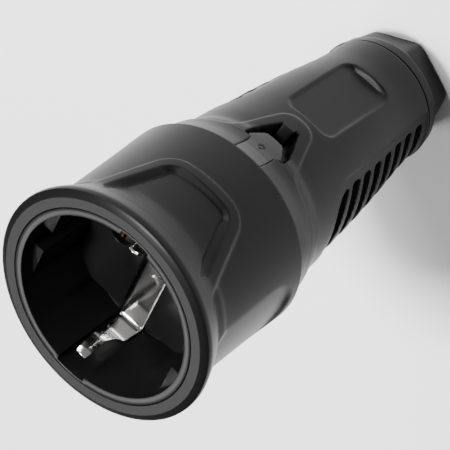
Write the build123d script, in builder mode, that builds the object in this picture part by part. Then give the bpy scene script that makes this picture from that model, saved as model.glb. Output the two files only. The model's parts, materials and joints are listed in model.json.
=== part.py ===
from build123d import *

import os
from math import sqrt

# Rubber coupler: the socket end of an earthed extension lead.
#
# Every piece is drawn standing on its mouth. Z runs from the rim of the mouth
# (Z = 0) to the cable end, X points to the side with the recess, the latch and
# the panel, and Y points to one ribbed flank. At the end the whole coupler is
# turned over, to stand on the nut at its cable end. All sizes are in millimetres.

# Socket face
well_radius = 19.6
well_depth = 17.5
pin_pitch = 19.0
pin_length = 19.0
pin_hole_radius = 2.75
contact_bore_radius = 2.42
pin_end_clearance = 0.5

# Front shell
flange_radius = 25.0
flange_face_radius = 23.4
flange_edge_height = 0.55
flange_edge_radius = 24.85
flange_land = 1.4
flare_shoulder_radius = 24.05
flare_shoulder_station = 4.0
flare_foot_radius = 22.75
flare_foot_station = 7.0
waist_radius = 22.0
waist_station = 10.5
cup_rear_radius = 22.2
cup_length = 34.0
seam_bevel = 0.45
shell_bore_radius = 21.05

# Socket insert
insert_clearance = 0.1
insert_lip_radius = 21.15
insert_lip_length = 3.0
insert_floor = 4.0
channel_half_width = 3.3
channel_bottom_radius = 20.65
block_reach = 16.3
side_slot_depth = 1.6
guide_reach = 16.8
guide_half_gap = 2.95
guide_station = 3.2

# Earth bracket
strip_drop = 1.5
strip_thickness = 0.5
strip_half_width = 2.75
finger_root_reach = 19.9
finger_root_station = 14.2
finger_knee_reach = 15.0
finger_knee_station = 6.6
finger_tip_reach = 16.3
finger_tip_station = 1.4
finger_half_width = 1.25
finger_knee_thickness = 0.6
finger_taper_station = 15.2
finger_taper_length = 3.0
earth_offset = 6.7
rivet_radius = 0.9
rivet_head_radius = 1.5
rivet_head_height = 0.4
rivet_length = 4.0

# Contact carrier
carrier_clearance = 0.15
spigot_radius = 17.0
spigot_length = 11.0
spigot_clearance = 0.1
boss_radius = 3.2
boss_length = 4.0
boss_offset_x = 10.0
boss_offset_y = 9.0
gasket_width = 1.9
gasket_thickness = 0.8

# Contacts and terminals
sleeve_radius = 3.1
sleeve_front = 19.7
sleeve_slot_width = 0.6
sleeve_slot_end = 28.0
spring_station = 22.5
spring_width = 1.8
spring_thickness = 0.45
spring_gap = 1.2
chamber_clearance = 0.05
terminal_depth = 3.0
terminal_rear_from_seam = 10.0
terminal_width = 7.4
terminal_clearance = 0.2
stem_radius = 2.1
wire_opening = 3.4
wire_depth = 6.0
clamp_plate_thickness = 0.5
terminal_screw_from_seam = 7.0
terminal_screw_radius = 1.5
screw_clearance = 0.05
screw_head_radius = 2.5
screw_head_height = 1.6
screw_slot_width = 0.7
screw_slot_depth = 0.7
head_clearance = 0.2
carrier_screw_radius = 1.3
carrier_screw_seat = 31.0
carrier_screw_length = 8.0

# How far cutters reach past what they cut
cutter_overlap = 1.0

# Recess on the top of the front shell
recess_rear = 20.3
recess_front = 3.0
recess_rear_half_width = 7.8
recess_splay = 0.424
recess_floor_radius = 21.35
recess_corner = 2.0
recess_draft = 30.0
recess_cut_depth = 6.5
ramp_foot_station = 10.0
ramp_head_station = 4.3
frame_radius = 22.85
frame_margin = 2.7
frame_corner = 3.5

# Flattened flanks of the front shell
flank_crest = 21.35
flank_curve_radius = 45.0
flank_front = 5.6
flank_rear_gap = 2.2
flank_half_width = 9.0
flank_corner = 7.5

# Rear shell: collar and handle. Lengths that end in from_seam run rearwards from the seam,
# and the handle is turned through its (radius, distance from the seam) points.
collar_radius = 22.1
collar_mid_radius = 20.75
collar_mid_from_seam = 3.4
collar_end_radius = 20.15
collar_end_from_seam = 6.5
raised_step = 0.45
collar_bevel = 0.15
handle_points = [(18.8, 10.4), (18.45, 14.5), (17.4, 26.0), (15.9, 38.0), (14.05, 50.0)]
handle_end_from_seam = 56.2
handle_end_radius = 13.65
cavity_front_radius = 15.2
cavity_front_from_seam = 12.6
cavity_waist_radius = 14.3
cavity_waist_from_seam = 26.0
cavity_rear_radius = 11.0
cavity_rear_from_seam = 42.0

# Tab and window on the top of the handle
tab_rear_from_seam = 20.3
tab_front_half_width = 8.3
tab_rear_half_width = 3.4
tab_corner = 1.8
window_front_from_seam = 6.7
window_shoulder_from_seam = 12.0
window_rear_from_seam = 17.2
window_front_half_width = 4.9
window_shoulder_half_width = 4.6
window_rear_half_width = 1.7
window_reach = 12.5
window_ramp_front_from_seam = 14.4
window_ramp_reach = 16.2

# Panel recess on the top of the handle
panel_front_from_seam = 22.3
panel_rear_from_seam = 45.8
panel_half_width = 6.2
panel_corner = 2.8
panel_front_reach = 16.35
panel_rear_reach = 13.1

# Ribbed grips on the flanks of the handle
grip_front_from_seam = 14.4
grip_nose_half_height = 5.0
grip_nose_drop = 0.4
grip_shoulder_from_seam = 23.5
grip_shoulder_half_height = 12.2
grip_rear_from_seam = 55.6
grip_rear_half_height = 7.9
grip_recess = 0.35
slot_count = 8
slot_first_from_seam = 18.0
slot_pitch = 4.77
slot_width = 2.0
slot_curve_radius = 16.5
slot_margin = 1.9
slot_front_half_height = 8.8
slot_depth = 1.7

# Latch tongue
latch_pivot_depth = 6.2
latch_pivot_reach = 19.45
latch_pivot_radius = 0.85
latch_pivot_clearance = 0.05
latch_clearance = 0.35
latch_sink = 0.5
latch_neck_half_width = 3.2
latch_barb_half_width = 4.2
latch_barb_from_seam = 7.1
latch_barb_length = 1.2
latch_cheek_half_width = 2.6
latch_cheek_from_seam = 11.2
latch_nose_half_width = 0.9
latch_nose_from_seam = 11.8
latch_under_reach = 16.9
latch_arm_end_from_seam = 1.4
latch_pocket_reach = 13.4
latch_slot_reach = 15.5
pip_from_seam = 5.6
pip_radius = 0.6
pip_height = 0.25

# Cable gland
thread_radius = 9.0
thread_end_from_seam = 63.2
thread_clearance = 0.1
gland_bore_radius = 7.6
gland_bore_front_from_seam = 48.0
gland_clearance = 0.08
seal_front_from_seam = 48.6
seal_length = 8.0
seal_bore_radius = 5.2
collet_bore_radius = 6.3
collet_flange_radius = 8.6
collet_flange_thickness = 0.4
collet_slot_count = 6
collet_slot_width = 1.0
collet_slot_length = 4.6
thrust_thickness = 0.8
thrust_inner_radius = 6.8
thrust_outer_radius = 8.8
nut_front_gap = 0.2
nut_collar_length = 2.6
nut_collar_radius = 13.45
nut_collar_rear_radius = 13.1
nut_hex_radius = 13.4
nut_hex_corner = 2.0
nut_taper = 10.5
nut_rear_from_seam = 65.8
nut_rear_wall = 1.4
nut_rear_round = 0.8
cable_bore_radius = 6.5

# Places worked out from the sizes above
latch_pivot_station = cup_length - latch_pivot_depth
latch_arm_end = cup_length + latch_arm_end_from_seam
terminal_front = cup_length - terminal_depth
collar_mid_station = cup_length + collar_mid_from_seam
collar_end = cup_length + collar_end_from_seam
handle_end = cup_length + handle_end_from_seam
cavity_front = cup_length + cavity_front_from_seam
cavity_waist = cup_length + cavity_waist_from_seam
cavity_rear = cup_length + cavity_rear_from_seam
tab_rear = cup_length + tab_rear_from_seam
window_front = cup_length + window_front_from_seam
window_shoulder = cup_length + window_shoulder_from_seam
window_rear = cup_length + window_rear_from_seam
window_ramp_front = cup_length + window_ramp_front_from_seam
panel_front = cup_length + panel_front_from_seam
panel_rear = cup_length + panel_rear_from_seam
grip_front = cup_length + grip_front_from_seam
grip_shoulder = cup_length + grip_shoulder_from_seam
grip_rear = cup_length + grip_rear_from_seam
slot_first_station = cup_length + slot_first_from_seam
latch_barb_station = cup_length + latch_barb_from_seam
latch_cheek_station = cup_length + latch_cheek_from_seam
latch_nose_station = cup_length + latch_nose_from_seam
pip_station = cup_length + pip_from_seam
thread_end = cup_length + thread_end_from_seam
gland_bore_front = cup_length + gland_bore_front_from_seam
seal_front = cup_length + seal_front_from_seam
nut_rear = cup_length + nut_rear_from_seam
terminal_rear = cup_length + terminal_rear_from_seam
terminal_screw_station = cup_length + terminal_screw_from_seam
insert_radius = shell_bore_radius - insert_clearance
insert_rear = well_depth + insert_floor
strip_top = well_depth + strip_drop
channel_floor = strip_top + strip_thickness
carrier_radius = shell_bore_radius - carrier_clearance
carrier_rim = cup_length - insert_clearance
spigot_end = cup_length + spigot_length
spigot_bore_radius = spigot_radius + spigot_clearance
chamber_radius = sleeve_radius + spring_thickness + chamber_clearance
pin_offset = pin_pitch / 2
pin_end = well_depth + pin_length + pin_end_clearance
terminal_half = terminal_width / 2
pocket_half = terminal_half + terminal_clearance
flank_centre = flank_crest - flank_curve_radius
flank_rear = cup_length - flank_rear_gap
frame_rear = recess_rear + frame_margin
frame_side_margin = frame_margin * sqrt(1 + recess_splay**2)
tongue_clear_half_width = latch_neck_half_width + latch_clearance
barb_clear_half_width = latch_barb_half_width + latch_clearance
nut_front = handle_end + nut_front_gap
nut_hex_front = nut_front + nut_collar_length
nut_inner_rear = nut_rear - nut_rear_wall
thrust_front = nut_inner_rear - thrust_thickness
gland_outer_radius = gland_bore_radius - gland_clearance
seal_rear = seal_front + seal_length
screw_places = [(boss_offset_x, boss_offset_y), (-boss_offset_x, -boss_offset_y)]

# Planes used by several pieces: the top plane faces +X, with its x along Y and its y along Z
top_plane = Plane(origin=(0, 0, 0), x_dir=(0, 1, 0), z_dir=(1, 0, 0))

pieces = {}


def recess_half_width(station):
    """Half the width of the recess at a distance from the mouth."""
    return recess_rear_half_width + recess_splay * (recess_rear - station)


def turned_body(outline):
    """A solid of revolution about Z from a closed list of (radius, station) points."""
    with BuildPart(mode=Mode.PRIVATE) as body:
        with BuildSketch(Plane.XZ):
            with BuildLine():
                Polyline(*outline, close=True)
            make_face()
        revolve(axis=Axis.Z)
    return body.part


def handle_body(growth):
    """The handle turned solid from the collar to its end, grown outward by the given amount."""
    with BuildPart(mode=Mode.PRIVATE) as body:
        with BuildSketch(Plane.XZ):
            with BuildLine():
                Spline(
                    (collar_end_radius - raised_step + growth, collar_end),
                    *[(radius + growth, cup_length + from_seam) for radius, from_seam in handle_points],
                    (handle_end_radius + growth, handle_end),
                )
                Polyline(
                    (handle_end_radius + growth, handle_end),
                    (0, handle_end),
                    (0, collar_end),
                    (collar_end_radius - raised_step + growth, collar_end),
                )
            make_face()
        revolve(axis=Axis.Z)
    return body.part


# Cutter that flattens both flanks of the cup, with a rounded rear end
with BuildPart() as flank_cutter:
    with BuildSketch(Plane.XY.offset(flank_front)):
        with Locations((0, flank_crest)):
            Rectangle(2.4 * flange_radius, 0.5 * flange_radius)
        with Locations((0, flank_centre)):
            Circle(flank_curve_radius, mode=Mode.SUBTRACT)
    extrude(amount=flank_rear - flank_front)
    mirror(about=Plane.XZ)
    with BuildSketch(Plane.XZ):
        with Locations((0, (flank_front + flank_rear) / 2)):
            Rectangle(2 * flank_half_width, flank_rear - flank_front)
        fillet(vertices().group_by(Axis.Y)[-1], radius=flank_corner)
    extrude(amount=flange_radius, both=True, mode=Mode.INTERSECT)


# Raised frame round the recess, a patch of a slightly larger cup
frame_ring = turned_body(
    [
        (shell_bore_radius + insert_clearance, flank_front),
        (frame_radius, flank_front),
        (frame_radius, frame_rear),
        (shell_bore_radius + insert_clearance, frame_rear),
    ]
)
with BuildPart() as recess_frame:
    with BuildSketch(top_plane):
        with BuildLine():
            Polyline(
                (recess_half_width(frame_rear) + frame_side_margin, frame_rear),
                (recess_half_width(recess_front) + frame_side_margin, recess_front),
                (-recess_half_width(recess_front) - frame_side_margin, recess_front),
                (-recess_half_width(frame_rear) - frame_side_margin, frame_rear),
                close=True,
            )
        make_face()
        fillet(vertices(), radius=frame_corner)
    extrude(amount=flange_radius)
    add(frame_ring, mode=Mode.INTERSECT)


# Recess in that frame: drafted sides, an upright rear wall and a round floor with a ramp
with BuildPart() as recess_floor:
    with BuildSketch(Plane.XZ):
        with BuildLine():
            Polyline(
                (flare_shoulder_radius, ramp_head_station),
                (flange_radius + cutter_overlap, recess_front),
                (0, recess_front),
                (0, recess_rear + cutter_overlap),
                (recess_floor_radius, recess_rear + cutter_overlap),
                (recess_floor_radius, ramp_foot_station),
            )
            Spline(
                (recess_floor_radius, ramp_foot_station),
                (flare_shoulder_radius, ramp_head_station),
                tangents=[(0, -1), (1, -1)],
            )
        make_face()
    revolve(axis=Axis.Z)

with BuildPart() as recess_cutter:
    with BuildSketch(top_plane.offset(frame_radius)) as recess_outline:
        with BuildLine():
            Polyline(
                (recess_half_width(recess_rear), recess_rear),
                (recess_half_width(recess_front), recess_front),
                (-recess_half_width(recess_front), recess_front),
                (-recess_half_width(recess_rear), recess_rear),
                close=True,
            )
        make_face()
        fillet(vertices(), radius=recess_corner)
    extrude(amount=-recess_cut_depth, taper=recess_draft)
    extrude(recess_outline.sketch, amount=flange_radius)
    add(recess_floor.part, mode=Mode.SUBTRACT)


# Front shell: rubber cup with a flared rim
with BuildPart() as front_shell:
    with BuildSketch(Plane.XZ):
        with BuildLine():
            Polyline(
                (insert_lip_radius + insert_clearance, 0),
                (flange_face_radius, 0),
                (flange_edge_radius, flange_edge_height),
                (flange_radius, flange_land),
            )
            Spline(
                (flange_radius, flange_land),
                (flare_shoulder_radius, flare_shoulder_station),
                (flare_foot_radius, flare_foot_station),
                (waist_radius, waist_station),
                tangents=[(0, 1), (0, 1)],
            )
            Polyline(
                (waist_radius, waist_station),
                (cup_rear_radius, cup_length - seam_bevel),
                (cup_rear_radius - seam_bevel, cup_length),
                (shell_bore_radius, cup_length),
                (shell_bore_radius, insert_lip_length),
                (insert_lip_radius + insert_clearance, insert_lip_length),
                (insert_lip_radius + insert_clearance, 0),
            )
        make_face()
    revolve(axis=Axis.Z)
    add(flank_cutter.part, mode=Mode.SUBTRACT)
    add(recess_frame.part)
    add(recess_cutter.part, mode=Mode.SUBTRACT)
pieces["front_shell"] = front_shell.part


# Socket insert: the well that takes the plug, with its floor
with BuildPart() as socket_insert:
    with BuildSketch():
        Circle(insert_radius)
    extrude(amount=insert_rear)
    with BuildSketch():
        Circle(insert_lip_radius)
    extrude(amount=insert_lip_length - insert_clearance)
    # channel across the floor and up both walls for the earth bracket
    with BuildSketch():
        Circle(channel_bottom_radius)
        channel_side = well_radius + channel_half_width
        with Locations((0, channel_side), (0, -channel_side)):
            Rectangle(3 * well_radius, 2 * well_radius, mode=Mode.SUBTRACT)
    extrude(amount=channel_floor, mode=Mode.SUBTRACT)
    # round mouth of the well, then the well between the guide lobes on both flanks
    with BuildSketch():
        Circle(well_radius)
    extrude(amount=guide_station, mode=Mode.SUBTRACT)
    with BuildSketch(Plane.XY.offset(guide_station)):
        Circle(well_radius)
        with GridLocations(2 * (guide_half_gap + well_radius), 2 * (guide_reach + well_radius), 2, 2):
            Rectangle(2 * well_radius, 2 * well_radius, mode=Mode.SUBTRACT)
    extrude(amount=well_depth - guide_station, mode=Mode.SUBTRACT)
    # slots between the straight edges of the floor and the wall
    with BuildSketch(Plane.XY.offset(well_depth)):
        Circle(well_radius)
        Rectangle(2 * block_reach, 3 * well_radius, mode=Mode.SUBTRACT)
    extrude(amount=side_slot_depth, mode=Mode.SUBTRACT)
    # pin holes, with room for the contact sleeves behind them
    with BuildSketch(Plane.XY.offset(well_depth)):
        with Locations((0, pin_offset), (0, -pin_offset)):
            Circle(pin_hole_radius)
    extrude(amount=insert_floor, mode=Mode.SUBTRACT)
    with BuildSketch(Plane.XY.offset(sleeve_front - terminal_clearance)):
        with Locations((0, pin_offset), (0, -pin_offset)):
            Circle(chamber_radius)
    extrude(amount=insert_floor, mode=Mode.SUBTRACT)
    # bosses that the screws pull against the carrier
    with BuildSketch(Plane.XY.offset(insert_rear)):
        with Locations(*screw_places):
            Circle(boss_radius)
    extrude(amount=boss_length)
    with BuildSketch(Plane.XY.offset(insert_rear + boss_length)):
        with Locations(*screw_places):
            Circle(carrier_screw_radius + screw_clearance)
    extrude(amount=-boss_length - insert_floor / 2, mode=Mode.SUBTRACT)
    # hole for the stem of the earth terminal
    with BuildSketch(Plane.XY.offset(channel_floor)):
        with Locations((-earth_offset, 0)):
            Circle(stem_radius + terminal_clearance)
    extrude(amount=insert_floor, mode=Mode.SUBTRACT)
pieces["socket_insert"] = socket_insert.part


# Earth bracket: one strip folded up at both ends into sprung fingers
with BuildPart() as earth_bracket:
    with BuildSketch(Plane.XZ):
        with BuildLine():
            Polyline(
                (0, strip_top),
                (finger_root_reach, strip_top),
                (finger_root_reach, finger_root_station),
                (finger_knee_reach, finger_knee_station),
                (finger_tip_reach, finger_tip_station),
                (finger_tip_reach + strip_thickness, finger_tip_station),
                (finger_knee_reach + finger_knee_thickness, finger_knee_station),
                (finger_root_reach + strip_thickness, finger_root_station),
                (finger_root_reach + strip_thickness, channel_floor),
                (0, channel_floor),
                close=True,
            )
        make_face()
    extrude(amount=strip_half_width, both=True)
    # each finger narrows from its root to the contact pad
    with BuildSketch(top_plane):
        with BuildLine():
            Polyline(
                (strip_half_width, channel_floor),
                (strip_half_width, finger_taper_station),
                (finger_half_width, finger_taper_station - finger_taper_length),
                (finger_half_width, finger_tip_station),
                (-finger_half_width, finger_tip_station),
                (-finger_half_width, finger_taper_station - finger_taper_length),
                (-strip_half_width, finger_taper_station),
                (-strip_half_width, channel_floor),
                close=True,
            )
        make_face()
    extrude(amount=flange_radius, mode=Mode.INTERSECT)
    mirror(about=Plane.YZ)
    with BuildSketch(Plane.XY.offset(strip_top)):
        with Locations((-earth_offset, 0)):
            Circle(rivet_radius + screw_clearance)
    extrude(amount=strip_thickness, mode=Mode.SUBTRACT)
pieces["earth_bracket"] = earth_bracket.part


# Rivet that joins the strip to the stem of the earth terminal
with BuildPart() as earth_rivet:
    with BuildSketch(Plane.XY.offset(strip_top - rivet_head_height)):
        with Locations((-earth_offset, 0)):
            Circle(rivet_head_radius)
    extrude(amount=rivet_head_height)
    with BuildSketch(Plane.XY.offset(strip_top)):
        with Locations((-earth_offset, 0)):
            Circle(rivet_radius)
    extrude(amount=rivet_length)
pieces["earth_rivet"] = earth_rivet.part


# Gasket between the insert and the carrier
with BuildPart() as insert_gasket:
    with BuildSketch(Plane.XY.offset(insert_rear)):
        Circle(carrier_radius)
        Circle(carrier_radius - gasket_width, mode=Mode.SUBTRACT)
    extrude(amount=gasket_thickness)
pieces["insert_gasket"] = insert_gasket.part


# Contact carrier: a block behind the insert, with a spigot that the rear shell slides over
with BuildPart() as contact_carrier:
    add(
        turned_body(
            [
                (0, insert_rear),
                (carrier_radius - gasket_width, insert_rear),
                (carrier_radius - gasket_width, insert_rear + gasket_thickness),
                (carrier_radius, insert_rear + gasket_thickness),
                (carrier_radius, carrier_rim),
                (spigot_radius, carrier_rim),
                (spigot_radius, spigot_end),
                (0, spigot_end),
            ]
        )
    )
    # chambers for the sleeves and pockets for the terminals behind them
    with BuildSketch(Plane.XY.offset(insert_rear)):
        with Locations((0, pin_offset), (0, -pin_offset)):
            Circle(chamber_radius)
        with Locations((-earth_offset, 0)):
            Circle(stem_radius + terminal_clearance)
    extrude(amount=terminal_front - insert_rear, mode=Mode.SUBTRACT)
    with BuildSketch(Plane.XY.offset(terminal_front)):
        with Locations((0, pin_offset), (0, -pin_offset), (-earth_offset, 0)):
            Rectangle(2 * pocket_half, 2 * pocket_half)
    extrude(amount=spigot_end - terminal_front, mode=Mode.SUBTRACT)
    # ways for a screwdriver to the terminal screws
    with BuildSketch(top_plane.offset(terminal_half)):
        with Locations((pin_offset, terminal_screw_station), (-pin_offset, terminal_screw_station)):
            Circle(screw_head_radius + head_clearance)
    extrude(amount=spigot_radius, mode=Mode.SUBTRACT)
    with BuildSketch(top_plane.offset(-earth_offset - terminal_half)):
        with Locations((0, terminal_screw_station)):
            Circle(screw_head_radius + head_clearance)
    extrude(amount=-spigot_radius, mode=Mode.SUBTRACT)
    # boss sockets, screw holes and wells for the screw heads
    with BuildSketch(Plane.XY.offset(insert_rear)):
        with Locations(*screw_places):
            Circle(boss_radius + insert_clearance)
    extrude(amount=boss_length + insert_clearance, mode=Mode.SUBTRACT)
    with BuildSketch(Plane.XY.offset(insert_rear)):
        with Locations(*screw_places):
            Circle(carrier_screw_radius + screw_clearance)
    extrude(amount=carrier_screw_seat - insert_rear, mode=Mode.SUBTRACT)
    with BuildSketch(Plane.XY.offset(carrier_screw_seat)):
        with Locations(*screw_places):
            Circle(screw_head_radius + head_clearance)
    extrude(amount=spigot_end - carrier_screw_seat, mode=Mode.SUBTRACT)
    # slot, rounded seat and pocket for the latch tongue
    with BuildSketch(Plane.XZ):
        with BuildLine():
            Polyline(
                (latch_slot_reach, latch_pivot_station),
                (flange_radius, latch_pivot_station),
                (flange_radius, carrier_rim + cutter_overlap),
                (latch_slot_reach, carrier_rim + cutter_overlap),
                close=True,
            )
        make_face()
        with Locations((latch_pivot_reach, latch_pivot_station)):
            Circle(latch_pivot_radius + latch_pivot_clearance)
    extrude(amount=tongue_clear_half_width, both=True, mode=Mode.SUBTRACT)
    with BuildSketch(top_plane.offset(latch_pocket_reach)):
        with Locations((0, (carrier_rim + spigot_end) / 2)):
            Rectangle(2 * barb_clear_half_width, spigot_end - carrier_rim)
    extrude(amount=flange_radius, mode=Mode.SUBTRACT)
pieces["contact_carrier"] = contact_carrier.part


# Line and neutral contacts: a split sleeve with a spring ring, in one piece with its terminal
for side_name, side in (("line", 1), ("neutral", -1)):
    centre = (0, side * pin_offset)
    with BuildPart() as pin_contact:
        with BuildSketch(Plane.XY.offset(sleeve_front)):
            with Locations(centre):
                Circle(sleeve_radius)
        extrude(amount=terminal_front - sleeve_front)
        with BuildSketch(Plane.XY.offset(terminal_front)):
            with Locations(centre):
                Rectangle(terminal_width, terminal_width)
        extrude(amount=terminal_rear - terminal_front)
        with BuildSketch(Plane.XY.offset(sleeve_front)):
            with Locations(centre):
                Circle(contact_bore_radius)
        extrude(amount=pin_end - sleeve_front, mode=Mode.SUBTRACT)
        with BuildSketch(Plane.XY.offset(sleeve_front)):
            with Locations(centre):
                Rectangle(3 * sleeve_radius, sleeve_slot_width)
        extrude(amount=sleeve_slot_end - sleeve_front, mode=Mode.SUBTRACT)
        with BuildSketch(Plane.XY.offset(terminal_rear)):
            with Locations(centre):
                Rectangle(wire_opening, wire_opening)
        extrude(amount=-wire_depth, mode=Mode.SUBTRACT)
        with BuildSketch(top_plane):
            with Locations((side * pin_offset, terminal_screw_station)):
                Circle(terminal_screw_radius + screw_clearance)
        extrude(amount=terminal_half, mode=Mode.SUBTRACT)
    pieces[f"{side_name}_contact"] = pin_contact.part

    with BuildPart() as sleeve_spring:
        with BuildSketch(Plane.XY.offset(spring_station)):
            with Locations(centre):
                Circle(sleeve_radius + spring_thickness)
                Circle(sleeve_radius, mode=Mode.SUBTRACT)
            with Locations((sleeve_radius, side * pin_offset)):
                Rectangle(sleeve_radius, spring_gap, mode=Mode.SUBTRACT)
        extrude(amount=spring_width)
    pieces[f"{side_name}_sleeve_spring"] = sleeve_spring.part


# Earth terminal: a block on a stem that reaches the strip
with BuildPart() as earth_terminal:
    with BuildSketch(Plane.XY.offset(channel_floor)):
        with Locations((-earth_offset, 0)):
            Circle(stem_radius)
            Circle(rivet_radius + screw_clearance, mode=Mode.SUBTRACT)
    extrude(amount=rivet_length)
    with BuildSketch(Plane.XY.offset(channel_floor + rivet_length)):
        with Locations((-earth_offset, 0)):
            Circle(stem_radius)
    extrude(amount=terminal_front - channel_floor - rivet_length)
    with BuildSketch(Plane.XY.offset(terminal_front)):
        with Locations((-earth_offset, 0)):
            Rectangle(terminal_width, terminal_width)
    extrude(amount=terminal_rear - terminal_front)
    with BuildSketch(Plane.XY.offset(terminal_rear)):
        with Locations((-earth_offset, 0)):
            Rectangle(wire_opening, wire_opening)
    extrude(amount=-wire_depth, mode=Mode.SUBTRACT)
    with BuildSketch(top_plane.offset(-earth_offset)):
        with Locations((0, terminal_screw_station)):
            Circle(terminal_screw_radius + screw_clearance)
    extrude(amount=-terminal_half, mode=Mode.SUBTRACT)
pieces["earth_terminal"] = earth_terminal.part


# Terminal screws, and the plates that they press on the wires
line_screw_plane = Plane(origin=(0, pin_offset, terminal_screw_station), x_dir=(0, 1, 0), z_dir=(1, 0, 0))
neutral_screw_plane = Plane(origin=(0, -pin_offset, terminal_screw_station), x_dir=(0, 1, 0), z_dir=(1, 0, 0))
earth_screw_plane = Plane(
    origin=(-earth_offset, 0, terminal_screw_station), x_dir=(0, -1, 0), z_dir=(-1, 0, 0)
)
screw_planes = [line_screw_plane, neutral_screw_plane, earth_screw_plane]

with BuildPart() as terminal_screws:
    for screw_plane in screw_planes:
        with BuildSketch(screw_plane.offset(wire_opening / 2)):
            Circle(terminal_screw_radius)
        extrude(amount=terminal_half - wire_opening / 2)
        with BuildSketch(screw_plane.offset(terminal_half)):
            Circle(screw_head_radius)
        extrude(amount=screw_head_height)
        with BuildSketch(screw_plane.offset(terminal_half + screw_head_height)):
            Rectangle(2 * screw_head_radius, screw_slot_width)
        extrude(amount=-screw_slot_depth, mode=Mode.SUBTRACT)
pieces["terminal_screws"] = terminal_screws.part

with BuildPart() as clamp_plates:
    for screw_plane in screw_planes:
        with BuildSketch(screw_plane.offset(wire_opening / 2 - screw_clearance)):
            Rectangle(wire_opening - 2 * screw_clearance, wire_depth - 2 * screw_clearance)
        extrude(amount=-clamp_plate_thickness)
pieces["clamp_plates"] = clamp_plates.part


# Screws that hold the carrier to the insert
with BuildPart() as carrier_screws:
    with BuildSketch(Plane.XY.offset(carrier_screw_seat)):
        with Locations(*screw_places):
            Circle(screw_head_radius)
    extrude(amount=screw_head_height)
    with BuildSketch(Plane.XY.offset(carrier_screw_seat)):
        with Locations(*screw_places):
            Circle(carrier_screw_radius)
    extrude(amount=-carrier_screw_length)
    with BuildSketch(Plane.XY.offset(carrier_screw_seat + screw_head_height)):
        with Locations(*screw_places):
            Rectangle(2 * screw_head_radius, screw_slot_width)
    extrude(amount=-screw_slot_depth, mode=Mode.SUBTRACT)
pieces["carrier_screws"] = carrier_screws.part


# Tab on the handle: a patch that keeps the height of the collar
tab_shell = handle_body(raised_step)
with BuildPart() as tab:
    with BuildSketch(top_plane):
        with BuildLine():
            Polyline(
                (tab_front_half_width, collar_end - raised_step),
                (tab_rear_half_width, tab_rear),
                (-tab_rear_half_width, tab_rear),
                (-tab_front_half_width, collar_end - raised_step),
                close=True,
            )
        make_face()
        fillet(vertices(), radius=tab_corner)
    extrude(amount=flange_radius)
    add(tab_shell, mode=Mode.INTERSECT)


# Window in the collar and tab, with the slot in which the neck of the tongue lies
with BuildPart() as window_cutter:
    with BuildSketch(top_plane):
        with BuildLine():
            Polyline(
                (tongue_clear_half_width, cup_length - cutter_overlap),
                (tongue_clear_half_width, window_front),
                (window_front_half_width, window_front),
                (window_shoulder_half_width, window_shoulder),
                (window_rear_half_width, window_rear),
                (-window_rear_half_width, window_rear),
                (-window_shoulder_half_width, window_shoulder),
                (-window_front_half_width, window_front),
                (-tongue_clear_half_width, window_front),
                (-tongue_clear_half_width, cup_length - cutter_overlap),
                close=True,
            )
        make_face()
    extrude(amount=flange_radius)
    with BuildSketch(Plane.XZ):
        with BuildLine():
            Polyline(
                (window_reach, cup_length - cutter_overlap),
                (flange_radius, cup_length - cutter_overlap),
                (flange_radius, window_rear),
                (window_ramp_reach + (window_rear - window_ramp_front), window_rear),
                (window_ramp_reach, window_ramp_front),
                (window_reach, window_ramp_front),
                close=True,
            )
        make_face()
    extrude(amount=flange_radius, both=True, mode=Mode.INTERSECT)


# Panel recess with a flat sloping floor
with BuildPart() as panel_cutter:
    with BuildSketch(top_plane):
        with Locations((0, (panel_front + panel_rear) / 2)):
            RectangleRounded(2 * panel_half_width, panel_rear - panel_front, panel_corner)
    extrude(amount=flange_radius)
    with BuildSketch(Plane.XZ):
        with BuildLine():
            Polyline(
                (panel_front_reach, panel_front),
                (flange_radius, panel_front),
                (flange_radius, panel_rear),
                (panel_rear_reach, panel_rear),
                close=True,
            )
        make_face()
    extrude(amount=flange_radius, both=True, mode=Mode.INTERSECT)


# Outline of a ribbed grip, on a plane beyond one flank, cut through to beyond the other
with BuildSketch(Plane.XZ.offset(-flange_radius)) as grip_outline:
    with BuildLine():
        Spline(
            (0, grip_front),
            (grip_nose_half_height, grip_front + grip_nose_drop),
            (grip_shoulder_half_height, grip_shoulder),
            tangents=[(1, 0), (0, 1)],
        )
        Polyline(
            (grip_shoulder_half_height, grip_shoulder),
            (grip_rear_half_height, grip_rear),
            (-grip_rear_half_height, grip_rear),
            (-grip_shoulder_half_height, grip_shoulder),
        )
        Spline(
            (-grip_shoulder_half_height, grip_shoulder),
            (-grip_nose_half_height, grip_front + grip_nose_drop),
            (0, grip_front),
            tangents=[(0, -1), (1, 0)],
        )
    make_face()

grip_core = handle_body(-grip_recess)
with BuildPart() as grip_cutter:
    extrude(grip_outline.sketch, amount=2 * flange_radius)
    add(grip_core, mode=Mode.SUBTRACT)

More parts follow.
